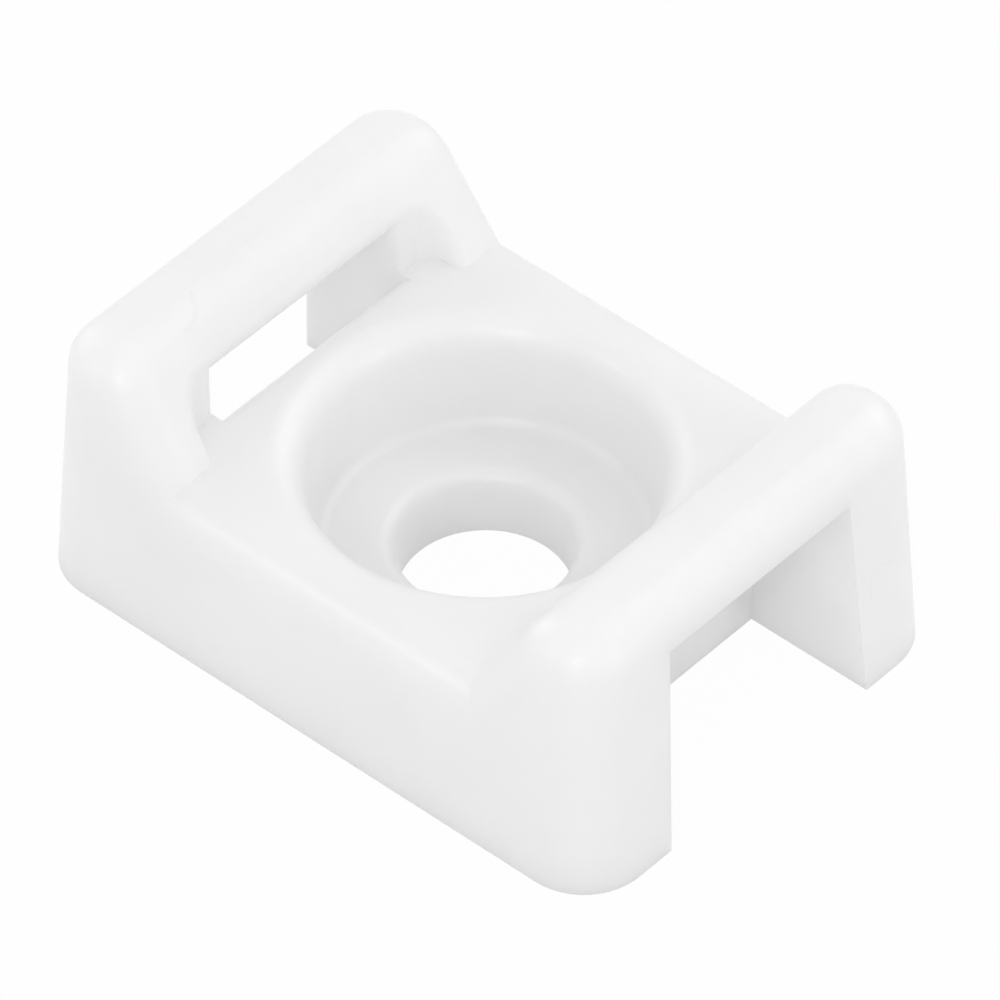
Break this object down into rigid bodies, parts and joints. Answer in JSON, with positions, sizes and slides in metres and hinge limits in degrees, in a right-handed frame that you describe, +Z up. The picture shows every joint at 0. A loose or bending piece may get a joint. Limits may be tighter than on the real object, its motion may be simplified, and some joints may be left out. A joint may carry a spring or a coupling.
{
  "type": "cable tie mount",
  "caption": "Screw-fixed saddle mount of natural nylon: a block with a countersunk screw hole and two end bars that a cable tie passes under.",
  "frame": {"origin": "middle of the underside, on the axis of the screw hole", "axes": "+Z up out of the surface that the mount is screwed to, X along the tie from bar to bar, Y along the two bars"},
  "size_m": [0.0224, 0.016, 0.0092],
  "materials": {
    "nylon": "semi-gloss moulded"
  },
  "bodies": {
    "root": {"tie_mount_body": "nylon"}
  },
  "joints": []
}
